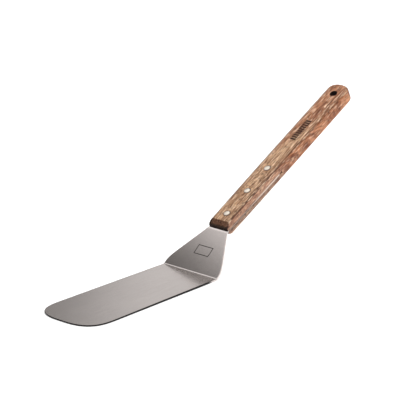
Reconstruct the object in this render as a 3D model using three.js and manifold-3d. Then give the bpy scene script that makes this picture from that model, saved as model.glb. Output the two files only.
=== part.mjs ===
// Offset turner: one stamped steel blank (blade, cranked neck and tang) held in the saw kerf of a
// one-piece wooden handle by three compression rivets, each a pin half pressed into a sleeve half.
// Millimetres, +Z up. The blade's lower face lies on Z = 0 with its tip towards -X, the handle rises
// towards +X, everything is symmetric about Y = 0, and the origin is the bottom centre of the whole.

import * as THREE from "three";
import Module from "manifold-3d";
import { mergeVertices } from "three/addons/utils/BufferGeometryUtils.js";

// Steel blank. Lengths run along its lower face, between the corners that its bends round off.
const BLADE_LENGTH = 204;
const BLADE_TIP_HALF_WIDTH = 38.8;
const BLADE_HEEL_HALF_WIDTH = 36.3;
const BLADE_TIP_THICKNESS = 1.5;
const STOCK_THICKNESS = 2.4;
const TIP_ROUND_LENGTH = 40;
const TIP_ROUND_POWER = 2.9; // 2 would be an ellipse, more is squarer
const TIP_FLAT_HALF_WIDTH = 5;
const HEEL_BEND_RADIUS = 5.5;
const NECK_LENGTH = 58;
const NECK_RISE = THREE.MathUtils.degToRad(38.4);
const NECK_END_HALF_WIDTH = 13.6;
const SHOULDER_START = 4; // past the heel bend's middle, where the sides leave the full width
const SHOULDER_CORNER = 10.4;
const SHOULDER_END = 20;
const THROAT_LENGTH = 5; // of neck before the grip bend, where its sides turn along the handle
const GRIP_BEND_RADIUS = 12;
const BARE_STEEL = 2; // between the grip bend's corner and the wood
const TANG_LENGTH = 99;
const TANG_CORNER = 4;
const EDGE_BEVEL = 0.35;

// Handle, in its own frame: X runs from the front of the wood to the butt at the tang's middle
// height, and Z is square to the broad faces.
const HANDLE_LENGTH = 241;
const HANDLE_RISE = THREE.MathUtils.degToRad(27.7);
const HANDLE_THICKNESS = 15.5;
const HANDLE_SIDE = [
  [0, 12.8],
  [60, 13.25],
  [122, 13.5],
  [190, 13.5],
  [230, 13.4],
]; // distance and half width
const EDGE_ROUNDING = 3;
const BUTT_CORNER = 7; // how far the sides run on, straight, into the butt's curve
const BUTT_FLATNESS = 0.6; // share of the half width over which the butt's curve stays flat
const NOSE_LENGTH = 6.3; // of the slope from each lip to a broad face
const NOSE_LIP = 2.2; // square front left above and below the tang
const KERF_LENGTH = 101;
const HANG_HOLE_PLACE = 224;
const HANG_HOLE_RADIUS = 4;
const HANG_HOLE_CHAMFER = 0.5;

// Rivets
const RIVET_PLACES = [17.9, 56, 94.1];
const HEAD_RADIUS = 3.4;
const HEAD_THICKNESS = 1.3;
const HEAD_CROWN = 0.5;
const SLEEVE_RADIUS = 2.4;
const SLEEVE_BORE = 1.7;
const PIN_RADIUS = 1.5;
const PIN_END_ROOM = 1.5; // between the pin's end and the bottom of the sleeve's bore

const FIT_GAP = 0.2; // around everything that is set into something else
const ROUND_SEGMENTS = 32;
const TIP_SEGMENTS = 16;
const BEND_SEGMENTS = 6;
const CURVE_SEGMENTS = 8;
const SIDE_SEGMENTS = 40;
const CUT_OVERRUN = 5; // how far a cutting solid reaches past what it cuts

const wasm = await Module();
wasm.setup();

const materials = {
  steel: new THREE.MeshStandardMaterial({ color: 0xb4b1ac, metalness: 1, roughness: 0.35 }),
  rivet: new THREE.MeshStandardMaterial({ color: 0xd8d2c6, metalness: 1, roughness: 0.3 }),
  wood: new THREE.MeshStandardMaterial({ color: 0xa8734d, metalness: 0, roughness: 0.55 }),
};

// A closed three.js geometry as a manifold-3d solid.
function solid(geometry) {
  const bare = geometry.clone();
  bare.deleteAttribute("normal");
  bare.deleteAttribute("uv");
  const merged = mergeVertices(bare);
  return new wasm.Manifold(
    new wasm.Mesh({
      numProp: 3,
      vertProperties: merged.attributes.position.array,
      triVerts: new Uint32Array(merged.index.array),
    }),
  );
}

// A manifold-3d solid as a three.js geometry.
function geometryOf(body) {
  const { vertProperties, triVerts } = body.getMesh();
  const geometry = new THREE.BufferGeometry();
  geometry.setAttribute("position", new THREE.BufferAttribute(vertProperties, 3));
  geometry.setIndex(new THREE.BufferAttribute(triVerts, 1));
  geometry.computeVertexNormals();
  return geometry;
}

function namedMesh(name, geometry, material) {
  const mesh = new THREE.Mesh(geometry, material.clone());
  mesh.name = name;
  return mesh;
}

// A solid of revolution about Z from [radius, height] pairs that start and end on the axis.
function turned(profile) {
  const points = profile.map(([radius, height]) => new THREE.Vector2(radius, height));
  return new THREE.LatheGeometry(points, ROUND_SEGMENTS).rotateX(Math.PI / 2);
}

// ---- Side view of the blank ----

const gripTurn = HANDLE_RISE - NECK_RISE;
const heelTangent = HEEL_BEND_RADIUS * Math.tan(NECK_RISE / 2);
const gripTangent = GRIP_BEND_RADIUS * Math.tan(-gripTurn / 2);

// The lower face seen from the side: blade, heel bend, neck, grip bend, tang.
const sideRun = [
  { length: BLADE_LENGTH - heelTangent, turn: 0 },
  { length: HEEL_BEND_RADIUS * NECK_RISE, turn: NECK_RISE },
  { length: NECK_LENGTH - heelTangent - gripTangent, turn: 0 },
  { length: GRIP_BEND_RADIUS * -gripTurn, turn: gripTurn },
  { length: BARE_STEEL + TANG_LENGTH - gripTangent, turn: 0 },
];
const heelBendStart = sideRun[0].length;
const heelBendEnd = heelBendStart + sideRun[1].length;
const gripBendStart = heelBendEnd + sideRun[2].length;
const gripBendEnd = gripBendStart + sideRun[3].length;
const blankLength = gripBendEnd + sideRun[4].length;
const woodStart = blankLength - TANG_LENGTH;
const heelLine = (heelBendStart + heelBendEnd) / 2;

// Place and slope of the lower face at a distance along it from the tip.
function lowerFace(distance) {
  const place = new THREE.Vector2();
  let slope = 0;
  let rest = distance;
  for (const { length, turn } of sideRun) {
    const run = Math.min(rest, length);
    const halfTurn = (turn * run) / length / 2;
    const chord = halfTurn ? (run * Math.sin(halfTurn)) / halfTurn : run;
    place.x += chord * Math.cos(slope + halfTurn);
    place.y += chord * Math.sin(slope + halfTurn);
    slope += 2 * halfTurn;
    rest -= run;
  }
  return { place, slope };
}

// A place on or in the bent blank, at a height above its lower face.
function bent(distance, across, height) {
  const { place, slope } = lowerFace(distance);
  const x = place.x - height * Math.sin(slope);
  const z = place.y + height * Math.cos(slope);
  return new THREE.Vector3(x, across, z);
}

// The blade is ground thinner towards its tip, and the rest keeps the thickness of the stock.
function thickness(distance) {
  const share = Math.min(distance / heelBendStart, 1);
  return THREE.MathUtils.lerp(BLADE_TIP_THICKNESS, STOCK_THICKNESS, share);
}

// ---- Outline of the flattened blank ----

const handleSidePoints = new THREE.SplineCurve(
  HANDLE_SIDE.map(([distance, halfWidth]) => new THREE.Vector2(distance, halfWidth)),
).getPoints(SIDE_SEGMENTS);

// A quarter of a superellipse, from the flat of the tip to the full width.
function tipCorner() {
  const power = 2 / TIP_ROUND_POWER;
  const first = Math.asin((TIP_FLAT_HALF_WIDTH / BLADE_TIP_HALF_WIDTH) ** (1 / power));
  const points = [];
  for (let i = 0; i <= TIP_SEGMENTS; i++) {
    const angle = THREE.MathUtils.lerp(first, Math.PI / 2, i / TIP_SEGMENTS);
    const along = TIP_ROUND_LENGTH * (1 - Math.max(Math.cos(angle), 0) ** power);
    points.push(new THREE.Vector2(along, BLADE_TIP_HALF_WIDTH * Math.sin(angle) ** power));
  }
  return points;
}

function heelBend() {
  const points = [];
  for (let i = 0; i <= BEND_SEGMENTS; i++) {
    const distance = THREE.MathUtils.lerp(heelBendStart, heelBendEnd, i / BEND_SEGMENTS);
    points.push(new THREE.Vector2(distance, BLADE_HEEL_HALF_WIDTH));
  }
  return points;
}

// The neck's straight taper between its rounded shoulder and its throat.
function neckHalfWidth(distance) {
  const start = heelLine + SHOULDER_CORNER;
  const share = (distance - start) / (gripBendStart - start);
  return THREE.MathUtils.lerp(BLADE_HEEL_HALF_WIDTH, NECK_END_HALF_WIDTH, share);
}

function shoulder() {
  const end = heelLine + SHOULDER_END;
  return new THREE.QuadraticBezierCurve(
    new THREE.Vector2(heelLine + SHOULDER_START, BLADE_HEEL_HALF_WIDTH),
    new THREE.Vector2(heelLine + SHOULDER_CORNER, BLADE_HEEL_HALF_WIDTH),
    new THREE.Vector2(end, neckHalfWidth(end)),
  ).getPoints(CURVE_SEGMENTS);
}

function throat() {
  const start = gripBendStart - THROAT_LENGTH;
  return new THREE.QuadraticBezierCurve(
    new THREE.Vector2(start, neckHalfWidth(start)),
    new THREE.Vector2(gripBendStart, NECK_END_HALF_WIDTH),
    new THREE.Vector2(woodStart, HANDLE_SIDE[0][1]),
  ).getPoints(CURVE_SEGMENTS);
}

// The tang's edges are flush with the handle's sides, up to its rounded end.
function tang() {
  const straightEnd = TANG_LENGTH - TANG_CORNER;
  const points = handleSidePoints
    .filter(({ x }) => x > 0 && x < straightEnd)
    .map(({ x, y }) => new THREE.Vector2(woodStart + x, y));
  const halfWidth = points.at(-1).y;
  const corner = new THREE.EllipseCurve(
    woodStart + straightEnd,
    halfWidth - TANG_CORNER,
    TANG_CORNER,
    TANG_CORNER,
    Math.PI / 2,
    0,
    true,
  );
  return [...points, ...corner.getPoints(BEND_SEGMENTS)];
}

const halfOutline = [...tipCorner(), ...heelBend(), ...shoulder(), ...throat(), ...tang()];

// A point of the outline moved in from the edge, square to it.
function inset(row, depth) {
  const before = halfOutline[Math.max(row - 1, 0)];
  const after = halfOutline[Math.min(row + 1, halfOutline.length - 1)];
  const along = after.clone().sub(before).normalize();
  return new THREE.Vector2(along.y, -along.x).multiplyScalar(depth).add(halfOutline[row]);
}

// A box with a row of vertices at each point of the outline, shaped to the outline and bent. Its
// outermost vertices, all round, stand back from both faces, which bevels the edge.
function blankPlate() {
  const rows = halfOutline.length - 1;
  const columns = 4;
  const plate = new THREE.BoxGeometry(1, 1, 1, rows, columns, 1);
  const position = plate.getAttribute("position");
  for (let i = 0; i < position.count; i++) {
    const row = Math.round((position.getX(i) + 0.5) * rows);
    const column = Math.round(position.getY(i) * columns);
    const isEnd = row === 0 || row === rows;
    const isSide = Math.abs(column) === columns / 2;
    const edge = halfOutline[row];
    const inner = inset(row, EDGE_BEVEL);
    const distance = isEnd || isSide ? edge.x : inner.x;
    const halfWidth = isSide ? edge.y : inner.y;
    const across = Math.sign(column) * halfWidth;
    const bevel = isEnd || isSide ? EDGE_BEVEL : 0;
    const height = position.getZ(i) > 0 ? thickness(distance) - bevel : bevel;
    position.setXYZ(i, ...bent(distance, across, height));
  }
  return plate;
}

// ---- Handle frame ----

// The kerf's mouth, at half the tang's thickness, is the origin of the handle's frame.
const handleOrigin = bent(woodStart, 0, STOCK_THICKNESS / 2);
const handle = new THREE.Group();
handle.position.copy(handleOrigin);
handle.rotation.y = -HANDLE_RISE;
handle.updateMatrix();

const headSeat = HANDLE_THICKNESS / 2 - HEAD_THICKNESS;

function rivetHole(place, radius) {
  const reach = HANDLE_THICKNESS + CUT_OVERRUN;
  const hole = new THREE.CylinderGeometry(radius, radius, reach, ROUND_SEGMENTS);
  return hole.rotateX(Math.PI / 2).translate(place, 0, 0);
}

function steelBlank() {
  let blank = solid(blankPlate());
  for (const place of RIVET_PLACES) {
    const hole = rivetHole(place, SLEEVE_RADIUS + FIT_GAP).applyMatrix4(handle.matrix);
    blank = blank.subtract(solid(hole));
  }
  return namedMesh("blade_and_tang", geometryOf(blank), materials.steel);
}

// ---- Handle ----

// The handle's outline seen square to its broad faces, longer at the front than the finished wood.
function handlePlan() {
  const sideEnd = handleSidePoints.at(-1);
  const plan = new THREE.Shape();
  plan.moveTo(-CUT_OVERRUN, HANDLE_SIDE[0][1]);
  for (const { x, y } of handleSidePoints) plan.lineTo(x, y);
  plan.bezierCurveTo(
    sideEnd.x + BUTT_CORNER,
    sideEnd.y,
    HANDLE_LENGTH,
    BUTT_FLATNESS * sideEnd.y,
    HANDLE_LENGTH,
    0,
  );
  plan.bezierCurveTo(
    HANDLE_LENGTH,
    -BUTT_FLATNESS * sideEnd.y,
    sideEnd.x + BUTT_CORNER,
    -sideEnd.y,
    sideEnd.x,
    -sideEnd.y,
  );
  for (const { x, y } of handleSidePoints.toReversed()) plan.lineTo(x, -y);
  plan.lineTo(-CUT_OVERRUN, -HANDLE_SIDE[0][1]);
  plan.closePath();
  return plan;
}

function handleBlock() {
  const block = new THREE.ExtrudeGeometry(handlePlan(), {
    depth: HANDLE_THICKNESS - 2 * EDGE_ROUNDING,
    bevelThickness: EDGE_ROUNDING,
    bevelSize: EDGE_ROUNDING,
    bevelOffset: -EDGE_ROUNDING,
    bevelSegments: 4,
    curveSegments: 12,
  });
  return block.translate(0, 0, EDGE_ROUNDING - HANDLE_THICKNESS / 2);
}

// Everything behind the nose: the two lips at the kerf's mouth and the slopes to the broad faces.
function behindNose() {
  const lip = STOCK_THICKNESS / 2 + NOSE_LIP;
  const height = HANDLE_THICKNESS / 2 + CUT_OVERRUN;
  const slopeEnd = (NOSE_LENGTH * (height - lip)) / (HANDLE_THICKNESS / 2 - lip);
  const back = HANDLE_LENGTH + CUT_OVERRUN;
  const profile = new THREE.Shape();
  profile.moveTo(0, -lip);
  profile.lineTo(slopeEnd, -height);
  profile.lineTo(back, -height);
  profile.lineTo(back, height);
  profile.lineTo(slopeEnd, height);
  profile.lineTo(0, lip);
  profile.closePath();
  const width = 2 * (HANDLE_SIDE[0][1] + CUT_OVERRUN);
  const block = new THREE.ExtrudeGeometry(profile, { depth: width, bevelEnabled: false });
  return block.translate(0, 0, -width / 2).rotateX(Math.PI / 2);
}

function kerf() {
  const length = KERF_LENGTH + CUT_OVERRUN;
  const width = 2 * (HANDLE_SIDE[0][1] + CUT_OVERRUN);
  const slot = new THREE.BoxGeometry(length, width, STOCK_THICKNESS + 2 * FIT_GAP);
  return slot.translate(KERF_LENGTH - length / 2, 0, 0);
}

function counterbore(place, side) {
  const radius = HEAD_RADIUS + FIT_GAP;
  const depth = HEAD_THICKNESS + FIT_GAP + CUT_OVERRUN;
  const pocket = new THREE.CylinderGeometry(radius, radius, depth, ROUND_SEGMENTS);
  const middle = headSeat - FIT_GAP + depth / 2;
  return pocket.rotateX(Math.PI / 2).translate(place, 0, side * middle);
}

// The hang hole with a chamfer at each mouth.
function hangHole() {
  const face = HANDLE_THICKNESS / 2;
  const flare = HANG_HOLE_RADIUS + HANG_HOLE_CHAMFER;
  const profile = [
    [0, -face - CUT_OVERRUN],
    [flare, -face - CUT_OVERRUN],
    [flare, -face],
    [HANG_HOLE_RADIUS, HANG_HOLE_CHAMFER - face],
    [HANG_HOLE_RADIUS, face - HANG_HOLE_CHAMFER],
    [flare, face],
    [flare, face + CUT_OVERRUN],
    [0, face + CUT_OVERRUN],
  ];
  return turned(profile).translate(HANG_HOLE_PLACE, 0, 0);
}

function woodHandle() {
  let wood = solid(handleBlock()).intersect(solid(behindNose()));
  wood = wood.subtract(solid(kerf())).subtract(solid(hangHole()));
  for (const place of RIVET_PLACES) {
    wood = wood.subtract(solid(rivetHole(place, SLEEVE_RADIUS + FIT_GAP)));
    for (const side of [-1, 1]) wood = wood.subtract(solid(counterbore(place, side)));
  }
  return namedMesh("handle", geometryOf(wood), materials.wood);
}

// ---- Rivets ----

// The crowned outer face of a head, from the axis to the rim.
function headFace() {
  const face = HANDLE_THICKNESS / 2;
  const steps = 4;
  const points = [];
  for (let i = 0; i <= steps; i++) {
    const radius = (HEAD_RADIUS * i) / steps;
    points.push([radius, face + HEAD_CROWN * (1 - (radius / HEAD_RADIUS) ** 2)]);
  }
  return points;
}

// The half with the solid pin, its head on the upper face.
function rivetPin(number, place) {
  const sleeveFloor = -headSeat;
  const profile = [
    [0, sleeveFloor + PIN_END_ROOM],
    [PIN_RADIUS, sleeveFloor + PIN_END_ROOM],
    [PIN_RADIUS, headSeat],
    [HEAD_RADIUS, headSeat],
    ...headFace().reverse(),
  ];
  const pin = namedMesh(`rivet_${number}_pin`, turned(profile), materials.rivet);
  pin.position.x = place;
  return pin;
}

// The half with the hollow sleeve, its head on the lower face.
function rivetSleeve(number, place) {
  const profile = [
    [0, headSeat],
    [SLEEVE_BORE, headSeat],
    [SLEEVE_BORE, FIT_GAP - headSeat],
    [SLEEVE_RADIUS, FIT_GAP - headSeat],
    [SLEEVE_RADIUS, headSeat],
    [HEAD_RADIUS, headSeat],
    ...headFace().reverse(),
  ];
  const sleeve = namedMesh(`rivet_${number}_sleeve`, turned(profile), materials.rivet);
  sleeve.position.x = place;
  sleeve.rotation.x = Math.PI;
  return sleeve;
}

// ---- Assembly ----

handle.add(woodHandle());
RIVET_PLACES.forEach((place, index) => {
  handle.add(rivetPin(index + 1, place));
  handle.add(rivetSleeve(index + 1, place));
});

const turner = new THREE.Group();
turner.add(steelBlank());
turner.add(handle);

const reach = new THREE.Box3().setFromObject(turner, true);
turner.position.x = -(reach.min.x + reach.max.x) / 2;

export default turner;
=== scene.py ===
"""Looks of the offset turner: a satin steel blank, a rosewood handle, three rivets and two plain marks.

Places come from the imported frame. Lengths are in millimetres where they are named here, and the meshes
are in metres. The side view of the blank and the two outlines follow the same rules as the CAD part.
"""

import math

import bmesh
import bpy
from mathutils import Matrix, Vector


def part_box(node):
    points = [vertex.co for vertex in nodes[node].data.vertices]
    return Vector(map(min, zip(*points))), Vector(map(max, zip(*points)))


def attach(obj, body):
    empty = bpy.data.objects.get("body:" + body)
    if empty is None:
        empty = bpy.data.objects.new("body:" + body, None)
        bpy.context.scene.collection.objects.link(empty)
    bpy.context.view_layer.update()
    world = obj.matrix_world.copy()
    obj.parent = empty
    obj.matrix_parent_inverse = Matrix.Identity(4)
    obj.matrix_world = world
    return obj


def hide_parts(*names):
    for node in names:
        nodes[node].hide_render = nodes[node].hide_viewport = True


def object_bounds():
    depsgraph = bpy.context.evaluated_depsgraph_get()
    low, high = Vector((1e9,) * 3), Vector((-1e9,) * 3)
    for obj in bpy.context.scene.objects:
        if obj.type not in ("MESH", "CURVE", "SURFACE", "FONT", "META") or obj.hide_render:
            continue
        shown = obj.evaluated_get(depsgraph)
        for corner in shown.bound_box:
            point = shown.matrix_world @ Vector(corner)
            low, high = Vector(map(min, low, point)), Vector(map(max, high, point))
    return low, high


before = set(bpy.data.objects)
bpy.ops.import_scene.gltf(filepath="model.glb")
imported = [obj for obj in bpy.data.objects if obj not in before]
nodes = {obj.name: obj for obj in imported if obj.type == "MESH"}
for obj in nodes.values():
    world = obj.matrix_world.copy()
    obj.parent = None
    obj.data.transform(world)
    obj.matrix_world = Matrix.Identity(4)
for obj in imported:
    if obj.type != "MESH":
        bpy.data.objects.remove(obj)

MM = 0.001
WELD = 0.002  # millimetres: points nearer than this are merged after a cut

# ---- Camera, in degrees and millimetres ----

CAMERA_AZIMUTH = -50.77
CAMERA_ELEVATION = 18.07
CAMERA_ROLL = 1.54
CAMERA_DISTANCE = 3198.7
CAMERA_LENS = 271.26
CENTRE_RIGHT_OF_AIM = 10.27
CENTRE_ABOVE_AIM = 3.00

# ---- Lights and floor, in metres ----

OVERHEAD_POSE = (0, -0.3, 1), (1, 0, 0), (1.8, 1.8)
FLOOR_REACH = 6
FLOOR_GAP = 0.0002

# ---- Steel blank ----

BLADE_LENGTH = 204
BLADE_HEEL_HALF_WIDTH = 36.3
BLADE_TIP_THICKNESS = 1.5
TIP_ROUND_LENGTH = 40
TIP_ROUND_POWER = 2.9
TIP_FLAT_HALF_WIDTH = 5
HEEL_BEND_RADIUS = 5.5
NECK_LENGTH = 58
NECK_RISE = math.radians(38.4)
NECK_END_HALF_WIDTH = 13.6
SHOULDER_START = 4
SHOULDER_CORNER = 10.4
SHOULDER_END = 20
THROAT_LENGTH = 5
GRIP_BEND_RADIUS = 12
BARE_STEEL = 2
TANG_CORNER = 4
STEEL_EDGE_RADIUS = 0.35
BLANK_SHARP_FROM = 50
RIM_FADE_START = 190
RIM_FADE_END = 200
# How much painted shade the edge gets at each level of its profile, counted up from the lower face:
# painted shade and a painted dark reflection along the blade's edge, fading out near the heel, and painted
# shade on the tang's lower half.
BLADE_RIM_SHADE = {**dict.fromkeys(range(1, 10), 1), 10: 0.8}
TANG_RIM_SHADE = {1: 0.9, 2: 0.9, 3: 0.85, 4: 0.8, 5: 0.5}

# ---- Handle ----

HANDLE_SIDE = [(0, 12.8), (60, 13.25), (122, 13.5), (190, 13.5), (230, 13.4)]
EDGE_ROUNDING = 3
BUTT_CORNER = 7
BUTT_FLATNESS = 0.6
BUTT_CURVE_END = 0.93
NOSE_LENGTH = 6.3
NOSE_LIP = 2.2
NOSE_STUB = 2
KERF_LENGTH = 101
KERF_GAP = 0.06
HANG_HOLE_PLACE = 224
HANG_HOLE_RADIUS = 4
HANG_HOLE_LIP = 0.7
HANDLE_SHARP_FROM = 32

# ---- Rivets ----

HEAD_RADIUS = 3.4
HEAD_THICKNESS = 1.3
HEAD_RIM_ROUNDING = 0.3
SLEEVE_RADIUS = 2.4
SLEEVE_BORE = 1.7
PIN_RADIUS = 1.5
PIN_END_ROOM = 1.5
RIVET_GAP = 0.2
COUNTERBORE_LIP = 0.15
LIP_TURN = math.radians(60)
BORE_OVERRUN = 1
RIVET_SHADE_SHIFT = (-0.4, -1.0)
RIVET_SHARP_FROM = 40

# ---- Marks, plain and without letters ----

MARK_SINK = 0.1
MARK_RISE = 0.03
NECK_MARK_PLACE = 29
NECK_MARK_SIZE = (12, 20)
NECK_MARK_STROKE = 0.9
HANDLE_MARK_START = 144.2
HANDLE_MARK_PITCH = 3.4
HANDLE_MARK_BARS = 10
HANDLE_MARK_BAR = (2.35, 7.4)

# ---- How fine the meshes are ----

TIP_STEPS = 36
BLADE_STEPS = 30
HEEL_STEPS = 14
NECK_STEPS = 12
TANG_CORNER_STEPS = 8
BLANK_COLUMNS = 8
BLANK_EDGE_STEPS = 4
HANDLE_SIDE_STEPS = 76
HANDLE_BUTT_STEPS = 24
HANDLE_COLUMNS = 6
HANDLE_EDGE_STEPS = 8
EDGE_SHELF = 0.5
DRILL_SIDES = 48
ROUND_SIDES = 64
LIP_STEPS = 5
CROWN_STEPS = 10

# ---- What the frame says ----

cad_low, cad_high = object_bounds()
centre = (cad_low + cad_high) / 2
ACROSS = Vector((0, 1, 0))
RIVET_NUMBERS = (1, 2, 3)


def middle_of(*names):
    """The middle of the box round some CAD nodes."""
    corners = [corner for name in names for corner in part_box(name)]
    low = Vector(map(min, zip(*corners)))
    high = Vector(map(max, zip(*corners)))
    return (low + high) / 2


def span(node, direction, start):
    """How far a CAD node reaches along a direction, in millimetres from start."""
    reaches = [(v.co - start).dot(direction) / MM for v in nodes[node].data.vertices]
    return min(reaches), max(reaches)


rivet_middles = [middle_of(f"rivet_{i}_pin", f"rivet_{i}_sleeve") for i in RIVET_NUMBERS]
handle_axis = (rivet_middles[-1] - rivet_middles[0]).normalized()
handle_normal = handle_axis.cross(ACROSS)
handle_rise = math.atan2(handle_axis.z, handle_axis.x)
handle_start = rivet_middles[0] + handle_axis * span("handle", handle_axis, rivet_middles[0])[0] * MM
handle_length = span("handle", handle_axis, handle_start)[1]
handle_thickness = 2 * span("handle", handle_normal, handle_start)[1]
rivet_places = [(m - handle_start).dot(handle_axis) / MM for m in rivet_middles]
rivet_reach = span("rivet_1_pin", handle_normal, handle_start)[1]
tang_length = span("blade_and_tang", handle_axis, handle_start)[1]
stock_thickness = 2 * max(
    (v.co - handle_start).dot(handle_normal) / MM
    for v in nodes["blade_and_tang"].data.vertices
    if (v.co - handle_start).dot(handle_axis) > 0
)
blade_tip_half_width = cad_high.y / MM
head_crown = rivet_reach - handle_thickness / 2


def on_handle(along, across, height):
    """A place in the row frame from the handle's own coordinates, in millimetres."""
    offset = handle_axis * along + ACROSS * across + handle_normal * height
    return handle_start + offset * MM


# ---- Mesh helpers ----


def make_object(name, vertices, faces):
    """An object with this mesh, its faces turned outward."""
    mesh = bpy.data.meshes.new(name)
    mesh.from_pydata(vertices, [], faces)
    editable = bmesh.new()
    editable.from_mesh(mesh)
    bmesh.ops.recalc_face_normals(editable, faces=editable.faces)
    editable.to_mesh(mesh)
    editable.free()
    made = bpy.data.objects.new(name, mesh)
    bpy.context.scene.collection.objects.link(made)
    return made


def lerp(a, b, share):
    return a + (b - a) * share


def smoothstep(low, high, value):
    share = min(max((value - low) / (high - low), 0), 1)
    return share * share * (3 - 2 * share)


def steps(first, last, count):
    """count + 1 evenly spaced values from first to last."""
    return [lerp(first, last, i / count) for i in range(count + 1)]


def bezier(points, share):
    """A point of the Bezier curve with these control points."""
    while len(points) > 1:
        points = [
            tuple(lerp(a, b, share) for a, b in zip(p, q)) for p, q in zip(points, points[1:])
        ]
    return points[0]


def rounded_edge(radius, arc_steps, shelf):
    """The edge's profile as (inset, side, depth) from the lower face, round the wall, to the upper one."""
    quarter = [
        (radius * (1 - math.sin(t)), radius * (1 - math.cos(t)))
        for t in steps(0, math.pi / 2, arc_steps)
    ]
    quarter = [(radius + shelf, 0), *quarter]
    lower = [(inset, -1, depth) for inset, depth in quarter]
    upper = [(inset, 1, depth) for inset, depth in reversed(quarter)]
    return lower + upper


def normals_of(outline):
    """The outward normal, as (along, across), at each point of half an outline."""
    found = []
    for i, _ in enumerate(outline):
        before = outline[max(i - 1, 0)]
        after = outline[min(i + 1, len(outline) - 1)]
        along, across = after[0] - before[0], after[1] - before[1]
        length = math.hypot(along, across)
        found.append((-across / length, along / length))
    return found


def slab(name, outline, profile, columns, place):
    """A closed plate with an even grid on both faces.

    outline is half the plan, symmetric about the middle. profile comes from rounded_edge. place turns
    (along, across, side, depth) into a point.
    """
    normals = normals_of(outline)
    last = len(outline) - 1
    vertices = []

    def inset_point(row, inset):
        along, across = outline[row]
        out_along, out_across = normals[row]
        if row == 0:
            out_along = -1
        if row == last:
            out_along = 1
        return along - out_along * inset, across - out_across * inset

    def add(row, column, inset, side, depth):
        along, half_width = inset_point(row, inset)
        vertices.append(place(along, half_width * column / columns, side, depth))
        return len(vertices) - 1

    loop = [(0, column) for column in range(-columns, columns)]
    loop += [(row, columns) for row in range(last)]
    loop += [(last, column) for column in range(columns, -columns, -1)]
    loop += [(row, -columns) for row in range(last, 0, -1)]
    rings = [
        {spot: add(*spot, inset, side, depth) for spot in loop} for inset, side, depth in profile
    ]
    faces = []
    for low, high in zip(rings, rings[1:]):
        for a, b in zip(loop, loop[1:] + loop[:1]):
            faces.append((low[a], low[b], high[b], high[a]))
    for ring, (inset, side, depth) in ((rings[0], profile[0]), (rings[-1], profile[-1])):
        face = dict(ring)
        for row in range(1, last):
            for column in range(1 - columns, columns):
                face[row, column] = add(row, column, inset, side, depth)
        for row in range(last):
            for column in range(-columns, columns):
                corners = [(row, column), (row + 1, column), (row + 1, column + 1), (row, column + 1)]
                faces.append([face[c] for c in corners][::side])
    return make_object(name, vertices, faces)


def lathe(name, profile, around, place):
    """A closed solid of revolution from (radius, height) pairs that start and end on the axis."""
    vertices = [place(0, 0, profile[0][1])]
    for radius, height in profile[1:-1]:
        for turn in range(around):
            angle = 2 * math.pi * turn / around
            vertices.append(place(radius * math.cos(angle), radius * math.sin(angle), height))
    vertices.append(place(0, 0, profile[-1][1]))
    faces = []
    rings = len(profile) - 2
    for turn in range(around):
        following = (turn + 1) % around
        faces.append((0, 1 + following, 1 + turn))
        for ring in range(rings - 1):
            low, high = 1 + ring * around, 1 + (ring + 1) * around
            faces.append((low + turn, low + following, high + following, high + turn))
        top = 1 + (rings - 1) * around
        faces.append((top + turn, top + following, len(vertices) - 1))
    return make_object(name, vertices, faces)


def cut(body, cutters):
    """Subtracts the cutters from the body one by one, cleans its mesh and removes them."""
    for cutter in cutters:
        modifier = body.modifiers.new("cut", "BOOLEAN")
        modifier.operation = "DIFFERENCE"
        modifier.solver = "EXACT"
        modifier.object = cutter
        bpy.context.view_layer.update()
        evaluated = body.evaluated_get(bpy.context.evaluated_depsgraph_get())
        body.data = bpy.data.meshes.new_from_object(evaluated)
        body.modifiers.clear()
        bpy.data.objects.remove(cutter)
        cleaned = bmesh.new()
        cleaned.from_mesh(body.data)
        bmesh.ops.remove_doubles(cleaned, verts=cleaned.verts, dist=WELD * MM)
        bmesh.ops.dissolve_degenerate(cleaned, edges=cleaned.edges, dist=WELD * MM)
        cleaned.to_mesh(body.data)
        cleaned.free()


def smooth(body, sharp_from):
    """Smooth shading that keeps flat faces flat and edges over sharp_from degrees sharp."""
    body.data.polygons.foreach_set("use_smooth", [True] * len(body.data.polygons))
    body.data.set_sharp_from_angle(angle=math.radians(sharp_from))
    weighted = body.modifiers.new("weighted normals", "WEIGHTED_NORMAL")
    weighted.keep_sharp = True


def dress(body, material, slot, *replaced):
    """Gives a finished piece its material, its body and what it stands for."""
    body.data.materials.clear()
    body.data.materials.append(material)
    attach(body, "root")
    if replaced:
        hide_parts(*replaced)


# ---- Node helpers ----


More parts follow.
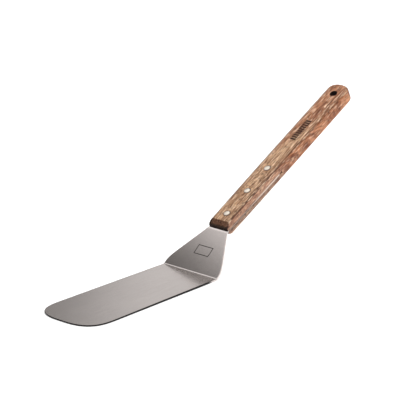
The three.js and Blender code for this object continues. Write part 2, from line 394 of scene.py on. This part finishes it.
class Graph:
    """A node tree that is written as calls: each one adds a node and returns its output."""

    def __init__(self, tree):
        self.tree = tree
        tree.nodes.clear()

    def node(self, kind, inputs=None, **settings):
        made = self.tree.nodes.new(kind)
        for key, value in settings.items():
            setattr(made, key, value)
        for key, value in (inputs or {}).items():
            if isinstance(value, bpy.types.NodeSocket):
                self.tree.links.new(value, made.inputs[key])
            else:
                made.inputs[key].default_value = value
        return made

    def math(self, operation, first, second=0.0):
        return self.node("ShaderNodeMath", {0: first, 1: second}, operation=operation).outputs[0]

    def band(self, value, low, high, from_value=0.0, to_value=1.0):
        """A smooth step from from_value at low to to_value at high."""
        inputs = {"Value": value, "From Min": low, "From Max": high}
        inputs.update({"To Min": from_value, "To Max": to_value})
        made = self.node("ShaderNodeMapRange", inputs, interpolation_type="SMOOTHSTEP")
        return made.outputs[0]

    def scaled(self, vector, scale):
        inputs = {0: vector, 1: scale}
        return self.node("ShaderNodeVectorMath", inputs, operation="MULTIPLY").outputs[0]

    def noise(self, vector, detail=2.0, roughness=0.5):
        inputs = {"Vector": vector, "Scale": 1.0, "Detail": detail, "Roughness": roughness}
        return self.node("ShaderNodeTexNoise", inputs).outputs[0]

    def mix(self, factor, first, second, mode="MIX"):
        made = self.node("ShaderNodeMix", data_type="RGBA", blend_type=mode, clamp_factor=True)
        sockets = (made.inputs[0], made.inputs[6], made.inputs[7])
        for socket, value in zip(sockets, (factor, first, second)):
            if isinstance(value, bpy.types.NodeSocket):
                self.tree.links.new(value, socket)
            elif isinstance(value, tuple):
                socket.default_value = (*value, 1)
            else:
                socket.default_value = value
        return made.outputs[2]

    def bump(self, height, distance, strength):
        inputs = {"Height": height, "Distance": distance, "Strength": strength}
        return self.node("ShaderNodeBump", inputs).outputs[0]

    def surface(self, **inputs):
        """The Principled shader, as the material's surface. Underscores stand for spaces."""
        named = {}
        for key, value in inputs.items():
            colour = isinstance(value, tuple) and len(value) == 3
            named[key.replace("_", " ")] = (*value, 1) if colour else value
        shader = self.node("ShaderNodeBsdfPrincipled", named)
        output = self.node("ShaderNodeOutputMaterial")
        self.tree.links.new(shader.outputs[0], output.inputs[0])
        return shader


def new_material(name):
    material = bpy.data.materials.new(name)
    material.use_nodes = True
    return material, Graph(material.node_tree)


def place_in_mm(graph):
    """The place on the object in the row frame, in millimetres."""
    place = graph.node("ShaderNodeTexCoord").outputs["Object"]
    return graph.scaled(place, (1 / MM,) * 3)


def handle_place(graph):
    """The place in the handle's own coordinates, in millimetres."""
    inputs = {
        "Vector": graph.node("ShaderNodeTexCoord").outputs["Object"],
        "Location": handle_start,
        "Rotation": (0, -handle_rise, 0),
        "Scale": (MM,) * 3,
    }
    return graph.node("ShaderNodeMapping", inputs, vector_type="TEXTURE").outputs[0]


# ---- Camera, lights and floor ----


def add_camera():
    azimuth, elevation = math.radians(CAMERA_AZIMUTH), math.radians(CAMERA_ELEVATION)
    back = Vector((
        math.sin(azimuth) * math.cos(elevation),
        -math.cos(azimuth) * math.cos(elevation),
        math.sin(elevation),
    ))
    turn = back.to_track_quat("Z", "Y").to_matrix()
    turn = turn @ Matrix.Rotation(math.radians(CAMERA_ROLL), 3, "Z")
    right, up = turn.col[0], turn.col[1]
    aim = centre - (right * CENTRE_RIGHT_OF_AIM + up * CENTRE_ABOVE_AIM) * MM
    camera = bpy.data.objects.new("camera", bpy.data.cameras.new("camera"))
    camera.data.lens = CAMERA_LENS
    camera.matrix_world = Matrix.Translation(aim + back * CAMERA_DISTANCE * MM) @ turn.to_4x4()
    bpy.context.scene.collection.objects.link(camera)
    bpy.context.scene.camera = camera


def add_light(name, middle, away, right, size, radiance, fade=None):
    """A soft panel of size (wide, high) metres.

    away points from the object to the panel, and right along its width. fade gives where along its width,
    in metres from its middle, it starts to glow and where it glows in full.
    """
    lamp = bpy.data.lights.new(name, "AREA")
    lamp.shape = "RECTANGLE"
    lamp.size, lamp.size_y = size
    lamp.energy = radiance * math.pi * size[0] * size[1]
    if fade:
        lamp.use_nodes = True
        graph = Graph(lamp.node_tree)
        along = graph.node("ShaderNodeNewGeometry").outputs["Parametric"]
        along = graph.node("ShaderNodeSeparateXYZ", {0: along}).outputs[0]
        start, full = (0.5 + place / size[0] for place in fade)
        glow = graph.node("ShaderNodeEmission", {"Strength": graph.band(along, start, full)})
        output = graph.node("ShaderNodeOutputLight")
        graph.tree.links.new(glow.outputs[0], output.inputs[0])
    back = Vector(away).normalized()
    side = Vector(right)
    side = (side - side.dot(back) * back).normalized()
    turn = Matrix((side, back.cross(side), back)).transposed()
    made = bpy.data.objects.new(name, lamp)
    made.matrix_world = Matrix.Translation(middle) @ turn.to_4x4()
    made.visible_camera = False
    bpy.context.scene.collection.objects.link(made)
    return made


def add_world():
    world = bpy.data.worlds.new("studio")
    bpy.context.scene.world = world
    world.use_nodes = True
    graph = Graph(world.node_tree)
    direction = graph.node("ShaderNodeTexCoord").outputs["Generated"]
    height = graph.node("ShaderNodeSeparateXYZ", {0: direction}).outputs[2]
    brightness = graph.band(height, 0.15, 0.75, 0.35, 0.16)
    background = graph.node("ShaderNodeBackground", {"Strength": brightness})
    output = graph.node("ShaderNodeOutputWorld")
    graph.tree.links.new(background.outputs[0], output.inputs[0])
    background.inputs[0].default_value = (1, 0.99, 0.975, 1)


def add_floor():
    material, graph = new_material("pale floor")
    mottle = graph.noise(graph.scaled(place_in_mm(graph), (0.004,) * 3))
    colour = graph.mix(mottle, (0.93, 0.93, 0.93), (0.95, 0.95, 0.95))
    length = graph.node("ShaderNodeVectorMath", {0: place_in_mm(graph)}, operation="LENGTH")
    # It glows more with distance, so that the background stays white.
    glow = graph.band(length.outputs["Value"], 260, 700, 0.42, 0.62)
    graph.surface(
        Base_Color=colour,
        Roughness=0.9,
        Specular_IOR_Level=0.2,
        Emission_Color=(1, 1, 1),
        Emission_Strength=glow,
    )
    corners = [(x * FLOOR_REACH, y * FLOOR_REACH, 0) for x, y in ((-1, -1), (1, -1), (1, 1), (-1, 1))]
    floor = make_object("floor", corners, [(0, 1, 2, 3)])
    floor.location.z = -FLOOR_GAP
    floor.data.materials.append(material)


# ---- Steel blank ----

grip_turn = handle_rise - NECK_RISE
heel_tangent = HEEL_BEND_RADIUS * math.tan(NECK_RISE / 2)
grip_tangent = GRIP_BEND_RADIUS * math.tan(-grip_turn / 2)
side_run = [
    (BLADE_LENGTH - heel_tangent, 0),
    (HEEL_BEND_RADIUS * NECK_RISE, NECK_RISE),
    (NECK_LENGTH - heel_tangent - grip_tangent, 0),
    (GRIP_BEND_RADIUS * -grip_turn, grip_turn),
    (BARE_STEEL + tang_length - grip_tangent, 0),
]
heel_bend_start = side_run[0][0]
heel_bend_end = heel_bend_start + side_run[1][0]
grip_bend_start = heel_bend_end + side_run[2][0]
grip_bend_end = grip_bend_start + side_run[3][0]
blank_length = grip_bend_end + side_run[4][0]
wood_start = blank_length - tang_length
heel_line = (heel_bend_start + heel_bend_end) / 2


def lower_face(distance):
    """Place along X and Z, from the tip, and slope of the blank's lower face at a distance along it."""
    x = z = slope = 0
    for length, turn in side_run:
        run = min(distance, length)
        half_turn = turn * run / length / 2
        chord = run * math.sin(half_turn) / half_turn if half_turn else run
        x += chord * math.cos(slope + half_turn)
        z += chord * math.sin(slope + half_turn)
        slope += 2 * half_turn
        distance -= run
    return x, z, slope


def bent(distance, across, height):
    """A place on the bent blank, at a height above its lower face, in the row frame."""
    x, z, slope = lower_face(distance)
    x -= height * math.sin(slope)
    z += height * math.cos(slope)
    return Vector((cad_low.x + x * MM, across * MM, z * MM))


def thickness(distance):
    return lerp(BLADE_TIP_THICKNESS, stock_thickness, min(distance / heel_bend_start, 1))


def spline(points, count):
    """Evenly stepped points of the Catmull-Rom curve through some points."""
    found = []
    last = len(points) - 1
    for t in steps(0, last, count):
        i = min(int(t), last - 1)
        p0, p1, p2, p3 = (points[min(max(j, 0), last)] for j in range(i - 1, i + 3))
        w = t - i
        found.append(tuple(
            0.5 * (2 * b + (c - a) * w + (2 * a - 5 * b + 4 * c - d) * w**2
                   + (3 * b - a - 3 * c + d) * w**3)
            for a, b, c, d in zip(p0, p1, p2, p3)
        ))
    return found


handle_side = spline(HANDLE_SIDE, HANDLE_SIDE_STEPS)


def tip_corner():
    power = 2 / TIP_ROUND_POWER
    first = math.asin((TIP_FLAT_HALF_WIDTH / blade_tip_half_width) ** (1 / power))
    return [
        (
            TIP_ROUND_LENGTH * (1 - max(math.cos(angle), 0) ** power),
            blade_tip_half_width * math.sin(angle) ** power,
        )
        for angle in steps(first, math.pi / 2, TIP_STEPS)
    ]


def blade_side():
    start, end = TIP_ROUND_LENGTH, heel_bend_start
    return [
        (row, lerp(blade_tip_half_width, BLADE_HEEL_HALF_WIDTH, (row - start) / (end - start)))
        for row in steps(start, end, BLADE_STEPS)[1:]
    ]


def neck_half_width(distance):
    start = heel_line + SHOULDER_CORNER
    share = (distance - start) / (grip_bend_start - start)
    return lerp(BLADE_HEEL_HALF_WIDTH, NECK_END_HALF_WIDTH, share)


def neck_side():
    heel_rows = steps(heel_bend_start, heel_bend_end, HEEL_STEPS)[1:]
    heel = [(row, BLADE_HEEL_HALF_WIDTH) for row in heel_rows]
    shoulder_end = heel_line + SHOULDER_END
    shoulder = [
        (heel_line + SHOULDER_START, BLADE_HEEL_HALF_WIDTH),
        (heel_line + SHOULDER_CORNER, BLADE_HEEL_HALF_WIDTH),
        (shoulder_end, neck_half_width(shoulder_end)),
    ]
    throat_start = grip_bend_start - THROAT_LENGTH
    throat = [
        (throat_start, neck_half_width(throat_start)),
        (grip_bend_start, NECK_END_HALF_WIDTH),
        (wood_start, HANDLE_SIDE[0][1]),
    ]
    straight_rows = steps(shoulder_end, throat_start, NECK_STEPS)[1:-1]
    return [
        *heel,
        *(bezier(shoulder, share) for share in steps(0, 1, NECK_STEPS)),
        *((row, neck_half_width(row)) for row in straight_rows),
        *(bezier(throat, share) for share in steps(0, 1, NECK_STEPS)),
    ]


def tang_side():
    straight_end = tang_length - TANG_CORNER
    side = [(wood_start + x, y) for x, y in handle_side if 0 < x < straight_end]
    corner_width = side[-1][1] - TANG_CORNER
    corner = [
        (
            wood_start + straight_end + TANG_CORNER * math.sin(angle),
            corner_width + TANG_CORNER * math.cos(angle),
        )
        for angle in steps(0, math.pi / 2, TANG_CORNER_STEPS)
    ]
    return side + corner


def drill(name, place, radius):
    """A cylinder through the whole handle at a place along it."""
    reach = handle_thickness
    profile = [(0, -reach), (radius, -reach), (radius, reach), (0, reach)]
    return lathe(name, profile, DRILL_SIDES, lambda x, y, z: on_handle(place + x, y, z))


def steel_material():
    material, graph = new_material("satin steel")
    place = place_in_mm(graph)
    brush = graph.noise(graph.scaled(place, (0.05, 2.6, 2.6)), detail=3)
    patch = graph.noise(graph.scaled(place, (0.015, 0.03, 0.03)), detail=3)
    streak = graph.noise(graph.scaled(place, (0.02, 0.5, 0.5)), detail=2)
    scratch = graph.noise(graph.scaled(place, (0.12, 9, 9)), detail=1)
    rim = graph.node("ShaderNodeAttribute", attribute_name="rim").outputs["Fac"]
    tone = graph.mix(graph.band(patch, 0.35, 0.65), (0.60, 0.545, 0.525), (0.63, 0.572, 0.55))
    tone = graph.mix(graph.band(streak, 0.3, 0.7, 0, 0.5), tone, (0.66, 0.605, 0.58))
    along = graph.node("ShaderNodeSeparateXYZ", {0: handle_place(graph)}).outputs[0]
    # The tang's edge inside the handle is painted reddish, darker towards the front: a painted reflection
    # of the wood beside it.
    tang = graph.mix(graph.band(along, 35, 70), (0.34, 0.25, 0.2), (0.74, 0.58, 0.48))
    tone = graph.mix(graph.band(along, 0, 1), tone, tang)
    # Where the rim attribute is set, the edge is painted near black and made less metallic: painted shade
    # and a painted dark reflection.
    colour = graph.mix(rim, tone, (0.012, 0.01, 0.01))
    roughness = graph.band(brush, 0.25, 0.75, 0.15, 0.22)
    fine = graph.math("ADD", graph.math("MULTIPLY", brush, 0.7), graph.math("MULTIPLY", scratch, 0.3))
    graph.surface(
        Base_Color=colour,
        Metallic=graph.band(rim, 0.3, 1, 1, 0.1),
        Specular_IOR_Level=0.1,
        Roughness=roughness,
        Normal=graph.bump(fine, 0.00002, 0.1),
    )
    return material


def paint_rim_shade(blank, levels, ring_size):
    """How much painted shade the edge gets at each level of its profile, on the blade and on the tang."""
    values = blank.data.attributes.new("rim", "FLOAT", "POINT").data
    for index in range(levels * ring_size):
        level = index // ring_size
        place = blank.data.vertices[index].co.x
        if place > handle_start.x:
            values[index].value = TANG_RIM_SHADE.get(level, 0)
        else:
            faded = smoothstep(RIM_FADE_START, RIM_FADE_END, (place - cad_low.x) / MM)
            values[index].value = BLADE_RIM_SHADE.get(level, 0) * (1 - faded)


def add_blank():
    outline = [*tip_corner(), *blade_side(), *neck_side(), *tang_side()]
    profile = rounded_edge(STEEL_EDGE_RADIUS, BLANK_EDGE_STEPS, EDGE_SHELF)

    def place(along, across, side, depth):
        return bent(along, across, depth if side < 0 else thickness(along) - depth)

    blank = slab("steel_blank", outline, profile, BLANK_COLUMNS, place)
    ring_size = 4 * BLANK_COLUMNS + 2 * (len(outline) - 1)
    paint_rim_shade(blank, len(profile), ring_size)
    holes = [drill("drill", place, SLEEVE_RADIUS + RIVET_GAP) for place in rivet_places]
    cut(blank, holes)
    smooth(blank, BLANK_SHARP_FROM)
    dress(blank, steel_material(), "steel", "blade_and_tang")


# ---- Handle ----


def wood_material():
    material, graph = new_material("rosewood")
    place = handle_place(graph)
    parts = graph.node("ShaderNodeSeparateXYZ", {0: place})
    along, across, height = parts.outputs[0], parts.outputs[1], parts.outputs[2]

    def total(*terms):
        result = terms[0]
        for term in terms[1:]:
            result = graph.math("ADD", result, term)
        return result

    def times(value, factor):
        return graph.math("MULTIPLY", value, factor)

    normal = graph.node("ShaderNodeNewGeometry").outputs["Normal"]

    def facing(direction):
        product = graph.node("ShaderNodeVectorMath", {0: normal, 1: direction}, operation="DOT_PRODUCT")
        return graph.math("ABSOLUTE", product.outputs["Value"])

    def grain(first, second, third, **settings):
        vector = graph.node("ShaderNodeCombineXYZ", {0: first, 1: second, 2: third})
        return graph.noise(vector.outputs[0], **settings)

    # The growth layers lie nearly along the handle and rise through its sides at a slant.
    warp = graph.noise(graph.scaled(place, (0.02, 0.05, 0.05)), detail=2)
    warp = times(graph.math("SUBTRACT", warp, 0.5), 6.0)
    layer = total(across, times(along, 0.1), times(height, 0.09), warp)
    streaks = grain(times(along, 0.012), times(layer, 0.9), times(height, 0.03), detail=4, roughness=0.7)
    mottle = graph.noise(graph.scaled(place, (0.03, 0.14, 0.14)), detail=2)

    # Flecks and pores run along the fibres.
    side = graph.band(facing(ACROSS), 0.6, 0.85)
    flecks = graph.noise(graph.scaled(place, (0.085, 0.75, 0.75)), detail=2, roughness=0.65)
    pores = graph.noise(graph.scaled(place, (0.28, 0.9, 0.9)), detail=1)

    golden = graph.mix(graph.band(mottle, 0.3, 0.7), (0.45, 0.25, 0.135), (0.65, 0.405, 0.235))
    golden = graph.mix(graph.band(streaks, 0.42, 0.62, 0, 0.55), golden, (0.32, 0.15, 0.075))
    red = graph.mix(graph.band(streaks, 0.38, 0.62), (0.50, 0.215, 0.105), (0.19, 0.058, 0.027))
    pale = graph.mix(graph.band(mottle, 0.3, 0.7), (0.33, 0.18, 0.125), (0.45, 0.27, 0.19))
    red = graph.mix(graph.band(along, 78, 125, 0.75, 0), red, pale)

    # Heartwood: the butt, behind a slanted border, and the near edge all along.
    border = total(along, times(across, 3.5), times(warp, 8.0))
    butt = graph.band(border, 130, 180)
    edge = graph.band(total(across, times(warp, 0.33)), -10.3, -9.2, 1, 0)
    heart = graph.math("MAXIMUM", butt, edge)
    colour = graph.mix(heart, golden, red)
    # Dark lines run along the near edge of the top face and fade towards the butt.
    wander = total(across, times(warp, 0.25))
    line = times(graph.band(wander, -12.4, -11.3), graph.band(wander, -10.0, -9.0, 1, 0))
    second = times(graph.band(wander, -8.6, -8.0), graph.band(wander, -7.6, -7.0, 0.5, 0))
    line = times(graph.math("MAXIMUM", line, second), graph.band(height, 5.0, 6.5))
    line = times(line, graph.band(along, 50, 130, 0.85, 0.45))
    colour = graph.mix(line, colour, (0.10, 0.035, 0.015))

    fleck_share = graph.band(side, 0, 1, 0.82, 0.45)
    light_fleck = times(graph.band(flecks, 0.46, 0.36), fleck_share)
    colour = graph.mix(light_fleck, colour, (0.88, 0.64, 0.44))
    dark_fleck = times(graph.band(flecks, 0.52, 0.62), fleck_share)
    colour = graph.mix(dark_fleck, colour, (0.13, 0.05, 0.025))
    colour = graph.mix(graph.band(pores, 0.57, 0.65, 0, 0.8), colour, (0.05, 0.02, 0.012))

    # Painted shade darkens the sides below the tang's edge, towards the front of the handle.
    below = times(graph.band(height, -1.6, -0.6, 1, 0), graph.band(along, 100, 125, 1, 0))
    shade_below_tang = graph.mix(times(below, side), (1, 1, 1), (0.72, 0.76, 0.78))
    colour = graph.mix(1.0, colour, shade_below_tang, "MULTIPLY")
    # The sides are painted lighter: painted light, as they are lit more than the top.
    painted_side_light = graph.mix(side, (1, 1, 1), (1.32, 1.30, 1.27))
    colour = graph.mix(1.0, colour, painted_side_light, "MULTIPLY")

    # A dark ring of painted shade lies round each rivet, shifted towards the near side and the front.
    for rivet in rivet_places:
        aside = graph.math("SUBTRACT", along, rivet + RIVET_SHADE_SHIFT[0])
        beside = graph.math("SUBTRACT", across, RIVET_SHADE_SHIFT[1])
        away = total(times(aside, aside), times(beside, beside))
        ring = graph.band(away, HEAD_RADIUS**2 * 1.2, HEAD_RADIUS**2 * 2.1, 0.8, 0)
        colour = graph.mix(ring, colour, (0.10, 0.05, 0.03))

    # The hang hole's wall is painted dark: painted shade inside the hole.
    aside = graph.math("SUBTRACT", along, HANG_HOLE_PLACE)
    away = total(times(aside, aside), times(across, across))
    wall = graph.band(away, (HANG_HOLE_RADIUS + 0.2) ** 2, (HANG_HOLE_RADIUS + 0.6) ** 2, 1, 0)
    colour = graph.mix(wall, colour, (0.05, 0.022, 0.016))

    # The rounded far edge is painted greyer and darker: painted shade and a painted grey reflection.
    far_edge_shade = times(graph.band(across, 8.6, 11.4, 0, 0.6), graph.band(height, 4.0, 6.0))
    colour = graph.mix(far_edge_shade, colour, (0.34, 0.265, 0.20))
    far_rounding_shade = graph.band(facing(handle_normal), 0.90, 0.99, 0.9, 0)
    far_rounding_shade = times(far_rounding_shade, graph.band(facing(ACROSS), 0.78, 0.92, 1, 0))
    far_rounding_shade = times(far_rounding_shade, times(graph.band(across, 9.5, 11.5), graph.band(height, 3.0, 5.0)))
    colour = graph.mix(far_rounding_shade, colour, (0.10, 0.075, 0.05))
    # End grain is darker, as it drinks the finish, and carries painted shade too: near black on the front
    # face close to the tang, where a painted shadow lies.
    end_grain = graph.band(facing(handle_axis), 0.25, 0.62)
    lip = graph.band(graph.math("ABSOLUTE", height), 4.0, 5.0)
    end_grain_and_shade = graph.mix(lip, (0.045, 0.03, 0.028), (0.27, 0.19, 0.17))
    end_grain_and_shade = graph.mix(graph.band(along, 5, 20), end_grain_and_shade, (0.35, 0.25, 0.23))
    end_grain_and_shade = graph.mix(end_grain, (1, 1, 1), end_grain_and_shade)
    colour = graph.mix(1.0, colour, end_grain_and_shade, "MULTIPLY")

    relief = total(times(pores, -0.6), times(flecks, -0.4))
    graph.surface(
        Base_Color=colour,
        Roughness=graph.band(flecks, 0.3, 0.7, 0.48, 0.62),
        Specular_IOR_Level=graph.band(far_rounding_shade, 0, 0.8, 0.3, 0.04),
        Normal=graph.bump(relief, 0.0002, 0.35),
    )
    return material


def handle_outline():
    """Half the handle's plan, with a stub before the front that the nose cut takes off."""
    side = [(-EDGE_ROUNDING - NOSE_STUB, HANDLE_SIDE[0][1]), *handle_side]
    end_place, end_width = side[-1]
    butt = [
        (end_place, end_width),
        (end_place + BUTT_CORNER, end_width),
        (handle_length, BUTT_FLATNESS * end_width),
        (handle_length, 0),
    ]
    shares = steps(0, BUTT_CURVE_END, HANDLE_BUTT_STEPS)[1:]
    return [*side, *(bezier(butt, share) for share in shares)]


def handle_place_of(along, across, side, depth):
    return on_handle(along, across, side * (handle_thickness / 2 - depth))


def prism(name, outline, half_width):
    """A closed bar across the handle from its (along, height) outline."""
    count = len(outline)
    corners = [
        on_handle(along, across, height)
        for across in (-half_width, half_width)
        for along, height in outline
    ]
    faces = [tuple(range(count)), tuple(range(2 * count - 1, count - 1, -1))]
    faces += [(i, (i + 1) % count, (i + 1) % count + count, i + count) for i in range(count)]
    return make_object(name, corners, faces)


def nose_cut():
    """Everything before the front face and the two slopes of the nose."""
    lip = stock_thickness / 2 + NOSE_LIP
    out = 2 * handle_thickness
    slope = NOSE_LENGTH / (handle_thickness / 2 - lip)
    upper = [(0, lip), (slope * (out - lip), out), (-out, out)]
    lower = [(along, -height) for along, height in reversed(upper)]
    return prism("nose cut", upper + lower, out)


def kerf():
    """The saw cut that holds the tang."""
    half = stock_thickness / 2 + KERF_GAP
    reach = 2 * HANDLE_SIDE[0][1]
    outline = [(-reach, -half), (KERF_LENGTH, -half), (KERF_LENGTH, half), (-reach, half)]
    return prism("kerf", outline, reach)


def bore(name, place, lip, *wall):
    """A round cutter through the handle from half its wall, outward, and a softened lip at each mouth."""
    radius = wall[-1][0]
    face = handle_thickness / 2
    arc = [
        (radius + lip * (1 - math.cos(t)), face - lip * (1 - math.sin(t)))
        for t in steps(0, LIP_TURN, LIP_STEPS)
    ]
    out = face + BORE_OVERRUN
    end_radius, end_height = arc[-1]
    end = (end_radius + (out - end_height) * math.tan(LIP_TURN), out)
    upper = [*wall[:-1], *arc, end, (0, out)]
    lower = [(r, -z) for r, z in reversed(upper)]
    return lathe(name, lower + upper, ROUND_SIDES, lambda x, y, z: on_handle(place + x, y, z))


def handle_cutters():
    seat = handle_thickness / 2 - HEAD_THICKNESS - RIVET_GAP
    shank, head = SLEEVE_RADIUS + RIVET_GAP, HEAD_RADIUS + RIVET_GAP
    hang_hole = bore("hang hole", HANG_HOLE_PLACE, HANG_HOLE_LIP, (HANG_HOLE_RADIUS, 0))
    wall = [(shank, seat), (head, seat), (head, seat)]
    rivet_holes = [bore("rivet hole", place, COUNTERBORE_LIP, *wall) for place in rivet_places]
    return [nose_cut(), kerf(), hang_hole, *rivet_holes]


def add_handle():
    profile = rounded_edge(EDGE_ROUNDING, HANDLE_EDGE_STEPS, EDGE_SHELF)
    handle = slab("wood_handle", handle_outline(), profile, HANDLE_COLUMNS, handle_place_of)
    cut(handle, handle_cutters())
    smooth(handle, HANDLE_SHARP_FROM)
    dress(handle, wood_material(), "wood", "handle")


# ---- Rivets ----


def rivet_material():
    material, graph = new_material("polished rivet")
    place = place_in_mm(graph)
    turning = graph.noise(graph.scaled(place, (1.6, 1.6, 1.6)), detail=3)
    colour = graph.mix(graph.band(turning, 0.35, 0.65), (0.74, 0.66, 0.57), (0.82, 0.74, 0.64))
    graph.surface(
        Base_Color=colour,
        Metallic=1.0,
        Roughness=graph.band(turning, 0.3, 0.7, 0.24, 0.36),
        Normal=graph.bump(turning, 0.00003, 0.3),
    )
    return material


def head_profile():
    """The outer side of a rivet head, from its seat to the middle of its crown."""
    face = handle_thickness / 2
    seat = face - HEAD_THICKNESS
    rim = HEAD_RADIUS - HEAD_RIM_ROUNDING
    rim_height = face + head_crown * (1 - (rim / HEAD_RADIUS) ** 2)
    points = [(HEAD_RADIUS, seat)]
    for t in steps(0, math.pi / 2, LIP_STEPS):
        points.append((
            rim + HEAD_RIM_ROUNDING * math.cos(t),
            rim_height - HEAD_RIM_ROUNDING * (1 - math.sin(t)),
        ))
    for share in steps(1, 0, CROWN_STEPS)[1:]:
        radius = rim * share
        points.append((radius, face + head_crown * (1 - (radius / HEAD_RADIUS) ** 2)))
    return points


def add_rivets():
    material = rivet_material()
    seat = handle_thickness / 2 - HEAD_THICKNESS
    pin_end = PIN_END_ROOM - seat
    pin = [(0, pin_end), (PIN_RADIUS, pin_end), (PIN_RADIUS, seat), *head_profile()]
    sleeve = [
        (0, seat),
        (SLEEVE_BORE, seat),
        (SLEEVE_BORE, RIVET_GAP - seat),
        (SLEEVE_RADIUS, RIVET_GAP - seat),
        (SLEEVE_RADIUS, seat),
        *head_profile(),
    ]
    for number, place in zip(RIVET_NUMBERS, rivet_places):
        for half, profile, side in (("pin", pin, 1), ("sleeve", sleeve, -1)):
            def turned(x, y, z):
                return on_handle(place + x, side * y, side * z)

            piece = lathe(f"rivet_{half}_{number}", profile, ROUND_SIDES, turned)
            smooth(piece, RIVET_SHARP_FROM)
            dress(piece, material, "rivet", f"rivet_{number}_{half}")


# ---- Marks ----


def mark_material(name, dark, worn):
    """A flat ink or etch, thinner where it is worn."""
    material, graph = new_material(name)
    wear = graph.noise(graph.scaled(place_in_mm(graph), (0.9, 0.9, 0.9)), detail=3)
    graph.surface(
        Base_Color=graph.mix(graph.band(wear, 0.4, 0.75), dark, worn),
        Roughness=graph.band(wear, 0.3, 0.7, 0.5, 0.7),
        Specular_IOR_Level=0.1,
        Normal=graph.bump(wear, 0.00002, 0.4),
    )
    return material


def stamp(name, outlines, place):
    """Thin closed solids from (along, across) outlines, each a strip of (inner, outer) point pairs."""
    vertices, faces = [], []
    for pairs, closed in outlines:
        first = len(vertices)
        for inner, outer in pairs:
            for height in (-MARK_SINK, MARK_RISE):
                vertices += [place(*inner, height), place(*outer, height)]
        count = len(pairs)
        for i in range(count if closed else count - 1):
            a, b = first + 4 * i, first + 4 * ((i + 1) % count)
            for c, d in ((0, 1), (1, 3), (3, 2), (2, 0)):
                faces.append((a + c, a + d, b + d, b + c))
        if not closed:
            end = first + 4 * (count - 1)
            faces += [(first, first + 1, first + 3, first + 2), (end, end + 1, end + 3, end + 2)]
    return make_object(name, vertices, faces)


def bar(along, length, width):
    """A plain bar, centred across the piece."""
    ends = (along - length / 2, along + length / 2)
    return [((end, -width / 2), (end, width / 2)) for end in ends], False


def border(along, length, width, stroke):
    """A plain rectangular frame, centred across the piece."""
    corners = ((-1, -1), (1, -1), (1, 1), (-1, 1))
    pairs = [
        (
            (along + i * (length / 2 - stroke), j * (width / 2 - stroke)),
            (along + i * length / 2, j * width / 2),
        )
        for i, j in corners
    ]
    return pairs, True


def add_marks():
    def on_neck(along, across, height):
        return bent(heel_line + along, across, stock_thickness + height)

    def on_wood(along, across, height):
        return on_handle(along, across, handle_thickness / 2 + height)

    etched = [border(NECK_MARK_PLACE, *NECK_MARK_SIZE, NECK_MARK_STROKE)]
    dark = mark_material("etched mark", (0.035, 0.03, 0.028), (0.09, 0.08, 0.075))
    dress(stamp("neck_mark", etched, on_neck), dark, "steel")

    places = [HANDLE_MARK_START + HANDLE_MARK_PITCH * i for i in range(HANDLE_MARK_BARS)]
    printed = [bar(place, *HANDLE_MARK_BAR) for place in places]
    dark = mark_material("printed mark", (0.008, 0.004, 0.004), (0.035, 0.014, 0.012))
    dress(stamp("handle_mark", printed, on_wood), dark, "wood")


# ---- The whole scene ----

add_camera()
add_world()
# The overhead panel lights matt surfaces. Steel mirrors a dimmer one just below it, so that a blade seen
# from above isn't washed out.
add_light("overhead", (0, -0.5, 1.7), *OVERHEAD_POSE, 2.6).visible_glossy = False
add_light("overhead sheen", (0, -0.5, 1.65), *OVERHEAD_POSE, 0.6).visible_diffuse = False
add_light(
    "rear panel",
    middle=(0.735, 0.523, 0.33),
    away=(0.775, 0.632, 0),
    right=(0.632, -0.775, 0),
    size=(0.64, 0.62),
    radiance=0.5,
    fade=(-0.31, -0.11),
)
add_light(
    "top panel",
    middle=(0.18, 0.188, 0.552),
    away=(-0.133, 0.602, 0.788),
    right=(0.82, -0.376, 0.426),
    size=(0.74, 0.42),
    radiance=1.14,
    fade=(-0.355, -0.235),
)
add_floor()
add_blank()
add_handle()
add_rivets()
add_marks()

bpy.context.scene.view_settings.view_transform = "Standard"
